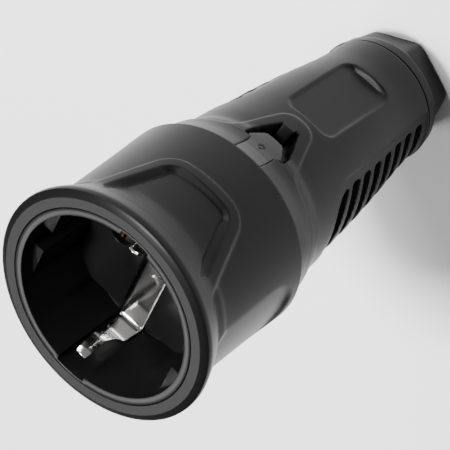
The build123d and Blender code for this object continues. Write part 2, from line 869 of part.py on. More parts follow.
slot_core = handle_body(-slot_depth)
with BuildPart() as slot_cutter:
    for slot_number in range(slot_count):
        slot_station = slot_first_station + slot_number * slot_pitch
        with BuildSketch(Plane.XZ.offset(-flange_radius)):
            with Locations((0, slot_station + slot_curve_radius)):
                Circle(slot_curve_radius + slot_width / 2)
                Circle(slot_curve_radius - slot_width / 2, mode=Mode.SUBTRACT)
            with Locations((0, slot_station + 1.5 * slot_curve_radius)):
                Rectangle(3 * slot_curve_radius, slot_curve_radius, mode=Mode.SUBTRACT)
        extrude(amount=2 * flange_radius)
    with BuildSketch(Plane.XZ.offset(-flange_radius)):
        with BuildLine():
            Polyline(
                (slot_front_half_height, grip_front + slot_margin),
                (grip_shoulder_half_height - slot_margin, grip_shoulder + slot_margin),
                (grip_rear_half_height - slot_margin, grip_rear - slot_margin),
                (slot_margin - grip_rear_half_height, grip_rear - slot_margin),
                (slot_margin - grip_shoulder_half_height, grip_shoulder + slot_margin),
                (-slot_front_half_height, grip_front + slot_margin),
                close=True,
            )
        make_face()
    extrude(amount=2 * flange_radius, mode=Mode.INTERSECT)
    add(slot_core, mode=Mode.SUBTRACT)


# Rear shell: collar, tapered rubber handle and the threaded spigot of the gland
with BuildPart() as rear_shell:
    add(
        turned_body(
            [
                (0, cup_length),
                (collar_radius - seam_bevel, cup_length),
                (collar_radius - collar_bevel, cup_length + seam_bevel),
                (collar_mid_radius, collar_mid_station),
                (collar_end_radius, collar_end - raised_step),
                (collar_end_radius - collar_bevel, collar_end),
                (0, collar_end),
            ]
        )
    )
    add(handle_body(0))
    add(tab.part)
    with BuildSketch(Plane.XY.offset(handle_end)):
        Circle(thread_radius)
    extrude(amount=thread_end - handle_end)
    add(
        turned_body(
            [
                (0, cup_length),
                (spigot_bore_radius, cup_length),
                (spigot_bore_radius, spigot_end + insert_clearance),
                (cavity_front_radius, cavity_front),
                (cavity_waist_radius, cavity_waist),
                (cavity_rear_radius, cavity_rear),
                (gland_bore_radius, gland_bore_front),
                (gland_bore_radius, thread_end),
                (0, thread_end),
            ]
        ),
        mode=Mode.SUBTRACT,
    )
    add(window_cutter.part, mode=Mode.SUBTRACT)
    add(panel_cutter.part, mode=Mode.SUBTRACT)
    add(grip_cutter.part, mode=Mode.SUBTRACT)
    add(slot_cutter.part, mode=Mode.SUBTRACT)
pieces["rear_shell"] = rear_shell.part


# Latch tongue: an arrow head in the window, on an arm that swings about its rounded root
with BuildPart() as latch_tongue:
    add(
        turned_body(
            [
                (latch_pivot_reach - latch_pivot_radius, cup_length + latch_clearance),
                (collar_radius - latch_sink, cup_length + latch_clearance),
                (collar_mid_radius - latch_sink, collar_mid_station),
                (collar_end_radius - latch_sink, collar_end),
                (handle_points[0][0], latch_nose_station),
                (latch_under_reach, latch_nose_station),
                (latch_under_reach, latch_barb_station),
                (latch_pivot_reach - latch_pivot_radius, collar_mid_station),
            ]
        )
    )
    with BuildSketch(top_plane):
        with BuildLine():
            Polyline(
                (latch_neck_half_width, cup_length),
                (latch_neck_half_width, latch_barb_station),
                (latch_barb_half_width, latch_barb_station),
                (latch_barb_half_width, latch_barb_station + latch_barb_length),
                (latch_cheek_half_width, latch_cheek_station),
                (latch_nose_half_width, latch_nose_station),
                (-latch_nose_half_width, latch_nose_station),
                (-latch_cheek_half_width, latch_cheek_station),
                (-latch_barb_half_width, latch_barb_station + latch_barb_length),
                (-latch_barb_half_width, latch_barb_station),
                (-latch_neck_half_width, latch_barb_station),
                (-latch_neck_half_width, cup_length),
                close=True,
            )
        make_face()
    extrude(amount=flange_radius, mode=Mode.INTERSECT)
    with BuildSketch(Plane.XZ):
        with Locations((latch_pivot_reach, latch_pivot_station)):
            Circle(latch_pivot_radius)
        with BuildLine():
            Polyline(
                (latch_pivot_reach - latch_pivot_radius, latch_pivot_station),
                (latch_pivot_reach + latch_pivot_radius, latch_pivot_station),
                (latch_pivot_reach + latch_pivot_radius, latch_arm_end),
                (latch_pivot_reach - latch_pivot_radius, latch_arm_end),
                close=True,
            )
        make_face()
    extrude(amount=latch_neck_half_width, both=True)
    with BuildSketch(top_plane.offset(latch_pivot_reach)):
        with Locations((0, pip_station)):
            Circle(pip_radius)
    extrude(amount=collar_end_radius - latch_sink + pip_height - latch_pivot_reach)
pieces["latch_tongue"] = latch_tongue.part


# Cable seal in the rear bore of the handle
with BuildPart() as cable_seal:
    with BuildSketch(Plane.XY.offset(seal_front)):
        Circle(gland_outer_radius)
        Circle(seal_bore_radius, mode=Mode.SUBTRACT)
    extrude(amount=seal_length)
pieces["cable_seal"] = cable_seal.part


# Clamping collet: a flanged ring with fingers that bear on the seal
with BuildPart() as clamp_collet:
    with BuildSketch(Plane.XY.offset(seal_rear)):
        Circle(gland_outer_radius)
        Circle(collet_bore_radius, mode=Mode.SUBTRACT)
    extrude(amount=thread_end - seal_rear)
    with BuildSketch(Plane.XY.offset(thread_end)):
        Circle(collet_flange_radius)
        Circle(collet_bore_radius, mode=Mode.SUBTRACT)
    extrude(amount=collet_flange_thickness)
    with BuildSketch(Plane.XY.offset(seal_rear)):
        with PolarLocations(gland_bore_radius, collet_slot_count):
            Rectangle(gland_bore_radius, collet_slot_width)
    extrude(amount=collet_slot_length, mode=Mode.SUBTRACT)
pieces["clamp_collet"] = clamp_collet.part


# Thrust ring between the collet and the nut
with BuildPart() as thrust_ring:
    with BuildSketch(Plane.XY.offset(thrust_front)):
        Circle(thrust_outer_radius)
        Circle(thrust_inner_radius, mode=Mode.SUBTRACT)
    extrude(amount=thrust_thickness)
pieces["thrust_ring"] = thrust_ring.part


# Gland nut: a round collar and a tapered hexagon with soft corners
with BuildPart() as gland_nut:
    add(
        turned_body(
            [
                (0, nut_front),
                (nut_collar_radius, nut_front),
                (nut_collar_rear_radius, nut_hex_front),
                (0, nut_hex_front),
            ]
        )
    )
    with BuildSketch(Plane.XY.offset(nut_hex_front)):
        RegularPolygon(nut_hex_radius, 6)
        fillet(vertices(), radius=nut_hex_corner)
    extrude(amount=nut_rear - nut_hex_front, taper=nut_taper)
    fillet(edges().group_by(Axis.Z)[-1], radius=nut_rear_round)
    with BuildSketch(Plane.XY.offset(nut_front)):
        Circle(thread_radius + thread_clearance)
    extrude(amount=nut_inner_rear - nut_front, mode=Mode.SUBTRACT)
    with BuildSketch(Plane.XY.offset(nut_inner_rear)):
        Circle(cable_bore_radius)
    extrude(amount=nut_rear_wall, mode=Mode.SUBTRACT)
pieces["gland_nut"] = gland_nut.part


# Stand the coupler on the rear face of its nut, mouth upwards: on its side it would roll
upright = Location((0, 0, nut_rear), (180, 0, 0))

os.makedirs("parts", exist_ok=True)
for name, piece in pieces.items():
    stood = piece.moved(upright)
    stood.label = name
    export_step(stood, f"parts/{name}.step")
print("overall length", nut_rear)
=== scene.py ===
import json
import logging
import math
from dataclasses import dataclass, field
from enum import Enum
from typing import Callable

import bmesh
import bpy
import numpy as np
from mathutils import Matrix, Vector


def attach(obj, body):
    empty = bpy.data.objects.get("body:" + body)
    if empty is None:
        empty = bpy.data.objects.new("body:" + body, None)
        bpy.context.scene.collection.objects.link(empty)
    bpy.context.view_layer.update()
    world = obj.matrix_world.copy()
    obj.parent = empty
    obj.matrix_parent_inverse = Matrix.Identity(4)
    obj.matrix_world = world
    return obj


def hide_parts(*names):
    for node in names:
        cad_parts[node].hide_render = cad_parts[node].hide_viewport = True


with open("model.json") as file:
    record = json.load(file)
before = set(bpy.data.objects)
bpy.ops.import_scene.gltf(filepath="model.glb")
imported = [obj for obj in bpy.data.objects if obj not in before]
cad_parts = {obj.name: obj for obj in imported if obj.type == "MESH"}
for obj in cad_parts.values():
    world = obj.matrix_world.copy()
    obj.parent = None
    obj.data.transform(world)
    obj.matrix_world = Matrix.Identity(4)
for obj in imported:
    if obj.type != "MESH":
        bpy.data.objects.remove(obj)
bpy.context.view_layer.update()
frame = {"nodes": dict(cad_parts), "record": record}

MM = 0.001
LOG = logging.getLogger("coupler")

# Every shape is worked out in millimetres from the middle of the mouth: Z (the station)
# runs to the cable end, X to the side with the recess and the latch, Y to one flank.
# The last step turns each mesh to where the frame has the coupler.


@dataclass(frozen=True)
class Rest:
    """Where the coupler stands, read from the mount on its flange."""

    mouth: Vector
    axis: Vector

    @classmethod
    def from_record(cls, record: dict) -> "Rest":
        """Reads the middle of the mouth and the axis from the flange mount.

        Args:
            record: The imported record.

        Returns:
            The place of the mouth and the direction of the cable end.
        """
        mount = next(m for m in record["mounts"] if m["name"] == "flange_face")
        place = mount["pos_m"]
        return cls(Vector((place[0], 0.0, place[2])), -Vector(mount["axis"]))

    def matrix(self) -> Matrix:
        """The transform from shape millimetres to the frame's metres."""
        top = Vector((-self.axis.z, 0.0, self.axis.x))
        side = self.axis.cross(top)
        turn = Matrix((top, side, self.axis)).transposed().to_4x4()
        return Matrix.Translation(self.mouth) @ turn @ Matrix.Scale(MM, 4)

    def point(self, top: float, side: float, station: float) -> Vector:
        """A point of the shape, in the frame."""
        return self.matrix() @ Vector((top, side, station))

    def direction(self, top: float, side: float, station: float) -> Vector:
        """A direction of the shape, in the frame."""
        return (self.matrix().to_3x3() @ Vector((top, side, station))).normalized()


# Shader graphs


class Wire:
    """A shader socket that takes part in Python expressions."""

    def __init__(self, graph: "Graph", socket: bpy.types.NodeSocket) -> None:
        """Keeps the graph and the output socket."""
        self.graph = graph
        self.socket = socket

    def _maths(self, operation: str, first: object, second: object) -> "Wire":
        """One Math node."""
        return self.graph.node("ShaderNodeMath", {"operation": operation}, {0: first, 1: second})

    def __add__(self, other: object) -> "Wire":
        """Sum."""
        return self._maths("ADD", self, other)

    __radd__ = __add__

    def __mul__(self, other: object) -> "Wire":
        """Product."""
        return self._maths("MULTIPLY", self, other)

    __rmul__ = __mul__

    def band(self, low: float, high: float) -> "Wire":
        """0 below low, 1 above high, smooth between."""
        return self.graph.node(
            "ShaderNodeMapRange",
            {"interpolation_type": "SMOOTHSTEP"},
            {"Value": self, "From Min": low, "From Max": high},
        )


class Graph:
    """The node tree of one material."""

    def __init__(self, name: str) -> None:
        """Makes an empty material with its output node."""
        self.material = bpy.data.materials.new(name)
        self.material.use_nodes = True
        self.tree = self.material.node_tree
        self.tree.nodes.clear()
        self.output = self.tree.nodes.new("ShaderNodeOutputMaterial")
        coordinates = self.tree.nodes.new("ShaderNodeTexCoord")
        self.place = Wire(self, coordinates.outputs["Object"])

    def node(self, kind: str, settings: dict, inputs: dict, output: object = 0) -> Wire:
        """Adds a node.

        Args:
            kind: The node's type.
            settings: Its own settings, set first.
            inputs: Values or wires for its sockets, by name or number.
            output: The name or number of the socket that is wanted.

        Returns:
            That output socket.
        """
        made = self.tree.nodes.new(kind)
        for key, value in settings.items():
            setattr(made, key, value)
        for key, value in inputs.items():
            if isinstance(value, Wire):
                self.tree.links.new(value.socket, made.inputs[key])
            else:
                made.inputs[key].default_value = value
        return Wire(self, made.outputs[output])

    def noise(self, scale: float, detail: float = 3.0, stretch: tuple = (1.0, 1.0, 1.0)) -> Wire:
        """Noise from 0 to 1 whose grains are about 1 / scale metres."""
        placed = self.node("ShaderNodeMapping", {}, {"Vector": self.place, "Scale": stretch})
        return self.node("ShaderNodeTexNoise", {}, {"Vector": placed, "Scale": scale, "Detail": detail})

    def blend(self, mask: object, low: tuple, high: tuple) -> Wire:
        """A colour between two by a mask."""
        settings = {"data_type": "RGBA"}
        return self.node("ShaderNodeMix", settings, {0: mask, 6: low, 7: high}, 2)

    def bump(self, height: Wire, strength: float, distance: float) -> Wire:
        """A normal from a height."""
        inputs = {"Height": height, "Strength": strength, "Distance": distance}
        return self.node("ShaderNodeBump", {}, inputs)

    def surface(self, inputs: dict) -> bpy.types.Material:
        """Finishes the material with one Principled shader."""
        shader = self.node("ShaderNodeBsdfPrincipled", {}, inputs)
        self.tree.links.new(shader.socket, self.output.inputs["Surface"])
        return self.material


def grey(value: float, warmth: float = 0.0) -> tuple[float, float, float, float]:
    """A near-neutral colour with an optional warm shift."""
    return (value * (1 + warmth), value, value * (1 - warmth), 1.0)


@dataclass(frozen=True)
class MouldedFinish:
    """A dark moulded surface: rubber, thermoset or polyamide."""

    name: str
    dark: float
    light: float
    rough_low: float
    rough_high: float
    grain_scale: float
    grain_depth: float
    specular: float = 0.5
    warmth: float = 0.0

    def material(self) -> bpy.types.Material:
        """Builds the material.

        Returns:
            A material with cloudy colour, uneven gloss and a fine moulded grain.
        """
        graph = Graph(self.name)
        cloud = graph.noise(60.0, 4.0)
        dust = graph.noise(900.0, 2.0).band(0.56, 0.78)
        fine = graph.noise(self.grain_scale, 3.0)
        broad = graph.noise(self.grain_scale * 0.18, 3.0)
        tone = cloud * 0.75 + dust * 0.25
        colour = graph.blend(tone, grey(self.dark, self.warmth), grey(self.light, self.warmth))
        gloss = cloud * 0.5 + fine * 0.5
        rough = gloss * (self.rough_high - self.rough_low) + self.rough_low
        relief = graph.bump(fine * 0.7 + broad * 0.3, 0.5, self.grain_depth)
        return graph.surface(
            {
                "Base Color": colour,
                "Roughness": rough,
                "Specular IOR Level": self.specular,
                "Normal": relief,
            }
        )


@dataclass(frozen=True)
class MetalFinish:
    """A bare or plated metal."""

    name: str
    dark: tuple[float, float, float]
    light: tuple[float, float, float]
    rough_low: float
    rough_high: float
    streak: tuple[float, float, float] = (1.0, 1.0, 1.0)

    def material(self) -> bpy.types.Material:
        """Builds the material.

        Returns:
            A metal with faint rolling streaks and uneven gloss.
        """
        graph = Graph(self.name)
        cloud = graph.noise(150.0, 3.0)
        lines = graph.noise(2500.0, 2.0, self.streak)
        tone = cloud * 0.6 + lines * 0.4
        colour = graph.blend(tone, (*self.dark, 1.0), (*self.light, 1.0))
        rough = tone * (self.rough_high - self.rough_low) + self.rough_low
        relief = graph.bump(lines, 0.1, 0.00001)
        return graph.surface(
            {"Base Color": colour, "Metallic": 1.0, "Roughness": rough, "Normal": relief}
        )


class Finish(Enum):
    """Every finish on the coupler."""

    SHELL = MouldedFinish("grained_rubber", 0.0035, 0.0065, 0.30, 0.40, 3600.0, 0.00003, 0.08)
    INSERT = MouldedFinish("socket_thermoset", 0.003, 0.005, 0.24, 0.36, 2400.0, 0.000006, 0.12)
    CARRIER = MouldedFinish("carrier_polyamide", 0.02, 0.03, 0.45, 0.6, 2600.0, 0.00002)
    LATCH = MouldedFinish("latch_polyamide", 0.004, 0.022, 0.34, 0.46, 2600.0, 0.00006, 0.16)
    GLAND = MouldedFinish("gland_polyamide", 0.0035, 0.0065, 0.30, 0.40, 3000.0, 0.00002, 0.08)
    SEAL = MouldedFinish("soft_seal_rubber", 0.02, 0.03, 0.6, 0.7, 2600.0, 0.00003)
    NICKEL = MetalFinish("nickel_strip", (0.82, 0.81, 0.79), (0.90, 0.89, 0.87), 0.10, 0.18, (1.0, 12.0, 1.0))
    BRASS = MetalFinish("turned_brass", (0.62, 0.46, 0.2), (0.84, 0.66, 0.33), 0.22, 0.36)
    STEEL = MetalFinish("zinc_plated_steel", (0.5, 0.51, 0.52), (0.72, 0.73, 0.74), 0.25, 0.4)

    def dress(self, *objects: bpy.types.Object) -> None:
        """Gives this finish to every material slot of the objects."""
        material = bpy.data.materials.get(self.value.name) or self.value.material()
        for piece in objects:
            if not piece.material_slots:
                piece.data.materials.append(material)
            for place in piece.material_slots:
                place.material = material


# Shape helpers on arrays of millimetres


def soft_ramp(depth: np.ndarray, width: float, soft: float = 0.12) -> np.ndarray:
    """A straight ramp with rounded ends.

    Args:
        depth: Distance inside an outline; negative outside.
        width: How far the ramp runs.
        soft: How round its two ends are.

    Returns:
        0 outside, 1 deeper than the width.
    """
    start = 0.5 * (depth + np.sqrt(depth**2 + soft**2))
    end = 0.5 * (depth - width + np.sqrt((depth - width) ** 2 + soft**2))
    return (start - end) / width


def soft_max(first: np.ndarray, second: np.ndarray, soft: float) -> np.ndarray:
    """The larger of two heights with a rounded inner corner."""
    return 0.5 * (first + second + np.sqrt((first - second) ** 2 + soft**2))


def soft_min(first: np.ndarray, second: np.ndarray, soft: float) -> np.ndarray:
    """The smaller of two heights with a rounded outer corner."""
    return -soft_max(-first, -second, soft)


def corner(first: np.ndarray, second: np.ndarray, radius: float) -> np.ndarray:
    """Distance inside two edges that meet in a round corner."""
    inner = radius - np.hypot(np.maximum(radius - first, 0), np.maximum(radius - second, 0))
    return np.where((first > radius) | (second > radius), np.minimum(first, second), inner)


def curve_through(points: tuple[tuple[float, float], ...], at: np.ndarray) -> np.ndarray:
    """A smooth line through points that doesn't overshoot.

    Args:
        points: (station, radius) pairs in order.
        at: The stations that are wanted.

    Returns:
        The radius at each station.
    """
    x = np.array([point[0] for point in points])
    y = np.array([point[1] for point in points])
    step = np.diff(x)
    slope = np.diff(y) / step
    inner = np.where(
        slope[:-1] * slope[1:] > 0,
        2 * slope[:-1] * slope[1:] / np.where(slope[:-1] + slope[1:] == 0, 1, slope[:-1] + slope[1:]),
        0.0,
    )
    tangent = np.concatenate([[slope[0]], inner, [slope[-1]]])
    place = np.clip(np.searchsorted(x, at) - 1, 0, len(step) - 1)
    t = np.clip((at - x[place]) / step[place], 0, 1)
    rise = step[place]
    return (
        (2 * t**3 - 3 * t**2 + 1) * y[place]
        + (t**3 - 2 * t**2 + t) * rise * tangent[place]
        + (3 * t**2 - 2 * t**3) * y[place + 1]
        + (t**3 - t**2) * rise * tangent[place + 1]
    )


def stations(*spans: tuple[float, float, float]) -> list[float]:
    """Stations along the axis from spans of (start, end, spacing)."""
    values: list[float] = []
    for start, end, spacing in spans:
        count = max(1, round((end - start) / spacing))
        values += [start + (end - start) * i / count for i in range(count)]
    return values + [spans[-1][1]]


Carve = Callable[[np.ndarray, np.ndarray], np.ndarray]
BLANK = 40.0


@dataclass
class TurnedPiece:
    """A turned blank whose outside is carved to a radius at every angle and station.

    Crowd draws the spun steps towards the top, where the fine shapes are.
    """

    name: str
    blank: list[float]
    inside: list[tuple[float, float]]
    carve: Carve
    steps: int = 720
    crowd: float = 0.0

    def build(self, rest: Rest) -> bpy.types.Object:
        """Spins the blank, carves it and turns it to its place.

        Args:
            rest: Where the coupler stands.

        Returns:
            The finished object, its place in its mesh.
        """
        made = bmesh.new()
        outline = [(BLANK, station) for station in self.blank] + self.inside
        verts = [made.verts.new((radius, 0.0, station)) for radius, station in outline]
        edges = [made.edges.new((verts[i - 1], verts[i])) for i in range(len(verts))]
        bmesh.ops.spin(
            made,
            geom=verts + edges,
            cent=(0, 0, 0),
            axis=(0, 0, 1),
            angle=2 * math.pi,
            steps=self.steps,
            use_merge=True,
            use_duplicate=False,
        )
        mesh = bpy.data.meshes.new(self.name)
        made.to_mesh(mesh)
        made.free()
        flat = np.empty(len(mesh.vertices) * 3)
        mesh.vertices.foreach_get("co", flat)
        place = flat.reshape(-1, 3)
        radius = np.hypot(place[:, 0], place[:, 1])
        angle = np.arctan2(place[:, 1], place[:, 0])
        angle -= self.crowd * np.sin(angle)
        outer = radius > 0.99 * BLANK
        radius[outer] = self.carve(angle[outer], place[outer, 2])
        place[:, 0] = radius * np.cos(angle)
        place[:, 1] = radius * np.sin(angle)
        mesh.vertices.foreach_set("co", place.ravel())
        return finish_mesh(mesh, self.name, rest)


def finish_mesh(mesh: bpy.types.Mesh, name: str, rest: Rest, sharp: float = 40.0) -> bpy.types.Object:
    """Turns a mesh to its place, points its faces outwards and shades it.

    Args:
        mesh: The mesh, in shape millimetres.
        name: The object's name.
        rest: Where the coupler stands.
        sharp: Edges sharper than this many degrees stay crisp.

    Returns:
        The object, linked to the scene.
    """
    mesh.transform(rest.matrix())
    made = bmesh.new()
    made.from_mesh(mesh)
    bmesh.ops.recalc_face_normals(made, faces=made.faces)
    made.to_mesh(mesh)
    made.free()
    mesh.update()
    mesh.shade_smooth()
    mesh.set_sharp_from_angle(angle=math.radians(sharp))
    piece = bpy.data.objects.new(name, mesh)
    bpy.context.scene.collection.objects.link(piece)
    return piece


# Sub-assemblies


@dataclass
class FrontShell:
    """The rubber cup with its flared rim, top recess and flattened flanks."""

    bore_radius: float = 21.05
    lip_radius: float = 21.25
    lip_length: float = 3.0
    lip_bevel: float = 0.1
    ring_edge: float = 0.06
    crowd: float = 0.42
    length: float = 34.0
    flare: tuple[tuple[float, float], ...] = (
        (0.0, 23.4),
        (0.5, 24.62),
        (0.8, 24.93),
        (1.4, 24.98),
        (1.9, 24.92),
        (2.6, 24.66),
        (4.0, 24.08),
        (5.5, 23.42),
        (7.0, 22.93),
        (8.5, 22.45),
        (10.0, 22.02),
        (12.0, 21.9),
    )
    cup_front: float = 10.0
    cup_front_radius: float = 22.0
    cup_rear_radius: float = 22.2
    foot_station: float = 6.0
    foot_run: float = 0.9
    foot_step: float = 0.25
    frame_radius: float = 22.85
    frame_margin: float = 2.7
    frame_corner: float = 3.6
    frame_run: float = 0.6
    recess_floor: float = 21.35
    recess_rear: float = 20.3
    recess_half_width: float = 7.8
    recess_splay: float = 0.424
    recess_corner: float = 2.2
    pad_start: float = 5.0
    pad_run: float = 6.0
    pad_fall: float = 0.55
    side_wall_run: float = 1.5
    rear_wall_run: float = 0.95
    groove_depth: float = 0.34
    groove_run: float = 0.25
    groove_end: float = 6.9
    groove_slant: float = 0.8
    blunt_run: float = 0.3
    crisp: float = 0.07
    flank_crest: float = 21.35
    flank_curve: float = 45.0
    flank_rear: float = 31.8
    flank_corner: float = 7.5
    flank_half_width: float = 9.0
    flank_run: float = 1.0
    seam_round: float = 0.3

    def _trapezoid(self, side: np.ndarray, station: np.ndarray, margin: float, radius: float) -> np.ndarray:
        """Distance inside the recess outline grown by a margin."""
        slope = math.hypot(1.0, self.recess_splay)
        half = self.recess_half_width + self.recess_splay * (self.recess_rear - station)
        to_side = (half - np.abs(side)) / slope + margin
        return corner(to_side, self.recess_rear + margin - station, radius)

    def radius(self, angle: np.ndarray, station: np.ndarray) -> np.ndarray:
        """The outer radius of the shell.

        Args:
            angle: Angle from the top, in radians.
            station: Distance from the mouth.

        Returns:
            The radius at each place.
        """
        flare = curve_through(self.flare, station)
        share = np.clip((station - self.cup_front) / (self.length - self.cup_front), 0, 1)
        cup = self.cup_front_radius + (self.cup_rear_radius - self.cup_front_radius) * share
        top = np.cos(angle)
        side = self.frame_radius * np.sin(angle)
        above = top > 0
        # the foot of the flare ends in a shallow step on the lower parts
        stepped = soft_ramp(station - self.foot_station, self.foot_run, 0.3)
        low = flare + (np.minimum(flare, cup + self.foot_step) - flare) * stepped
        low = soft_max(low, cup, self.foot_step)
        # flattened flanks
        centre = self.flank_crest - self.flank_curve
        chord = np.sqrt(self.flank_curve**2 - (centre * top) ** 2)
        flank = centre * np.abs(np.sin(angle)) + chord
        inside = corner(
            self.flank_half_width - np.abs(top) * cup,
            np.minimum(station - self.foot_station, self.flank_rear - station),
            self.flank_corner,
        )
        pressed = soft_min(low, flank, 0.12)
        low = low + (pressed - low) * soft_ramp(inside, self.flank_run, 0.3)
        # raised frame round the recess
        plateau = soft_max(flare, np.full_like(flare, self.frame_radius), 0.3)
        frame_depth = self._trapezoid(side, station, self.frame_margin, self.frame_corner)
        raised = low + (plateau - low) * soft_ramp(frame_depth, self.frame_run, 0.2)
        # recess with drafted sides and an upright rear wall
        fall = self.pad_fall * soft_ramp(station - self.pad_start, self.pad_run, 2.5)
        pad = soft_max(flare - fall, np.full_like(flare, self.recess_floor), 0.8)
        depth = self._trapezoid(side, station, 0.0, self.recess_corner)
        near_rear = soft_ramp(self.side_wall_run + 1.0 - (self.recess_rear - station), 1.0, 0.5)
        run = self.side_wall_run + (self.rear_wall_run - self.side_wall_run) * near_rear
        # the walls end bluntly where the flare begins; a fine groove follows their foot
        slant = self.groove_slant * np.clip(depth, 0, run)
        blunt = soft_ramp(station - self.groove_end + slant, self.blunt_run, 0.08)
        groove = self.groove_depth * (1 - near_rear)
        pad = np.minimum(pad, raised)
        inner = soft_ramp(depth - run, self.groove_run, self.crisp)
        walls = raised + (pad - groove - raised) * soft_ramp(depth, run, self.crisp) + groove * inner
        front = raised + (pad - raised) * inner
        sunk = front + (walls - front) * blunt
        shaped = np.where(above, sunk, low)
        # round edge at the seam
        edge = np.clip((station - (self.length - self.seam_round)) / self.seam_round, 0, 1)
        return shaped - self.seam_round * (1 - np.sqrt(1 - edge**2))

    def build(self, rest: Rest) -> None:
        """Builds the shell in place of its node."""
        lines = stations(
            (0.0, 1.0, 0.1), (1.0, 3.0, 0.3), (3.0, 5.2, 0.4), (5.2, 8.0, 0.14), (8.0, 18.4, 0.52),
            (18.4, 23.6, 0.16), (23.6, 29.0, 0.7), (29.0, 33.4, 0.4), (33.4, 34.0, 0.1),
        )
        inside = [
            (self.bore_radius, self.length),
            (self.bore_radius, self.lip_length),
            (self.lip_radius, self.lip_length),
            (self.lip_radius, self.lip_bevel),
            (self.lip_radius + self.lip_bevel, 0.0),
            (self.lip_radius + 2 * self.lip_bevel, 0.0),
            (self.flare[0][1] - self.ring_edge, 0.0),
        ]
        piece = TurnedPiece("cup_shell", lines, inside, self.radius, crowd=self.crowd).build(rest)
        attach(piece, "housing")
        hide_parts("front_shell")
        Finish.SHELL.dress(piece)
        LOG.info("cup shell: %d faces", len(piece.data.polygons))


@dataclass
class RearShell:
    """The tapered handle with its collar, latch window, panel and ribbed grips."""

    front: float = 34.0
    rear: float = 90.2
    front_round: float = 0.12
    rear_round: float = 0.45
    steps: int = 588
    crowd: float = 0.2
    bore_radius: float = 17.1
    spigot_radius: float = 9.0
    gland_radius: float = 7.6
    thread_end: float = 97.2
    wire_space: tuple[tuple[float, float], ...] = ((7.6, 82.0), (11.0, 76.0), (13.1, 60.0), (13.1, 46.6))
    collar: tuple[tuple[float, float], ...] = (
        (34.0, 22.1),
        (36.0, 21.33),
        (38.0, 20.66),
        (40.0, 20.24),
        (42.0, 20.0),
        (44.0, 19.6),
    )
    body: tuple[tuple[float, float], ...] = (
        (34.0, 21.6),
        (40.0, 19.85),
        (42.0, 19.45),
        (44.4, 18.8),
        (48.5, 18.45),
        (54.0, 17.95),
        (60.0, 17.4),
        (66.0, 16.7),
        (72.0, 15.9),
        (78.0, 14.95),
        (84.0, 14.1),
        (90.2, 13.65),
    )
    raised: float = 0.45
    collar_end: float = 40.5
    collar_blend: float = 2.2
    collar_fillet: float = 0.25
    tab_rear: float = 54.3
    tab_half_width: float = 8.3
    tab_taper: float = 0.355
    tab_corner: float = 2.6
    window: tuple[tuple[float, float], ...] = ((40.7, 4.9), (43.4, 4.75), (50.6, 1.75))
    window_floor: float = 13.2
    window_step: float = 15.6
    window_step_front: float = 45.6
    bore_end: float = 45.0
    bore_skin: float = 0.2
    ramp_front: float = 47.7
    ramp_reach: float = 16.7
    ramp_half_width: float = 1.7
    ramp_side: float = -0.45
    neck_half_width: float = 3.14
    panel_front: float = 56.3
    panel_rear: float = 79.8
    panel_half_width: float = 6.2
    panel_corner: float = 2.8
    panel_front_reach: float = 16.35
    panel_rear_reach: float = 13.1
    grip_front: float = 48.4
    grip_shoulder: float = 57.5
    grip_half_height: float = 12.2
    grip_rear_half_height: float = 7.9
    grip_rear: float = 89.6
    grip_sink: float = 0.35
    slot_count: int = 8
    slot_first: float = 52.0
    slot_pitch: float = 4.77
    slot_half_width: float = 1.2
    slot_curve: float = 16.5
    slot_margin: float = 1.9
    slot_depth: float = 1.7

    def _grip_half_height(self, station: np.ndarray) -> np.ndarray:
        """Half the height of a grip along the handle."""
        nose = np.clip((station - self.grip_front) / (self.grip_shoulder - self.grip_front), 0, 1)
        round_nose = self.grip_half_height * np.sqrt(np.clip(1 - (1 - nose) ** 2, 0, 1))
        share = np.clip((station - self.grip_shoulder) / (self.grip_rear - self.grip_shoulder), 0, 1)
        taper = self.grip_half_height + (self.grip_rear_half_height - self.grip_half_height) * share
        return np.where(station < self.grip_shoulder, round_nose, taper)

    def _grips(self, height: np.ndarray, station: np.ndarray) -> tuple[np.ndarray, np.ndarray]:
        """How far a place is inside the grip and inside its nearest slot."""
        half = self._grip_half_height(station)
        ends = np.minimum(station - self.grip_front, self.grip_rear - station)
        grip = np.minimum(half - np.abs(height), ends)
        slot = np.full_like(station, -9.0)
        for number in range(self.slot_count):
            middle = self.slot_first + number * self.slot_pitch + self.slot_curve
            across = np.abs(np.hypot(height, station - middle) - self.slot_curve)
            inside = np.where(station < middle, self.slot_half_width - across, -9.0)
            slot = np.maximum(slot, inside)
        clear = half - self.slot_margin - np.abs(height)
        clear = np.minimum(clear, station - self.grip_front - self.slot_margin)
        return grip, corner(slot, np.minimum(clear, self.grip_rear - self.slot_margin / 2 - station), 0.7)

    def radius(self, angle: np.ndarray, station: np.ndarray) -> np.ndarray:
        """The outer radius of the shell.

        Args:
            angle: Angle from the top, in radians.
            station: Distance from the mouth.

        Returns:
            The radius at each place.
        """
        body = curve_through(self.body, station)
        collar = curve_through(self.collar, station)
        top = np.cos(angle)
        side = body * np.sin(angle)
        height = body * top
        above = top > 0
        # collar, and the tab that carries its height rearwards on the top
        tab_half = self.tab_half_width - self.tab_taper * (station - self.collar_end)
        tab = corner(tab_half - np.abs(side), self.tab_rear - station, self.tab_corner)
        tab = np.where(above, tab, -20.0)
        collar_depth = self.collar_end - station
        fillet = self.collar_fillet * np.exp(-((collar_depth - tab) ** 2) / 4)
        zone = soft_max(collar_depth, tab, self.collar_blend) - fillet
        lifted = np.where(station < self.collar_end, np.maximum(collar, body), body + self.raised)
        shaped = body + (lifted - body) * soft_ramp(zone, 0.45, 0.16)
        # ribbed grips on both flanks
        grip, slot = self._grips(height, station)
        shaped = shaped - self.grip_sink * soft_ramp(grip, 0.5, 0.14)
        shaped = shaped - (self.slot_depth - self.grip_sink) * soft_ramp(slot, 0.45, 0.14)
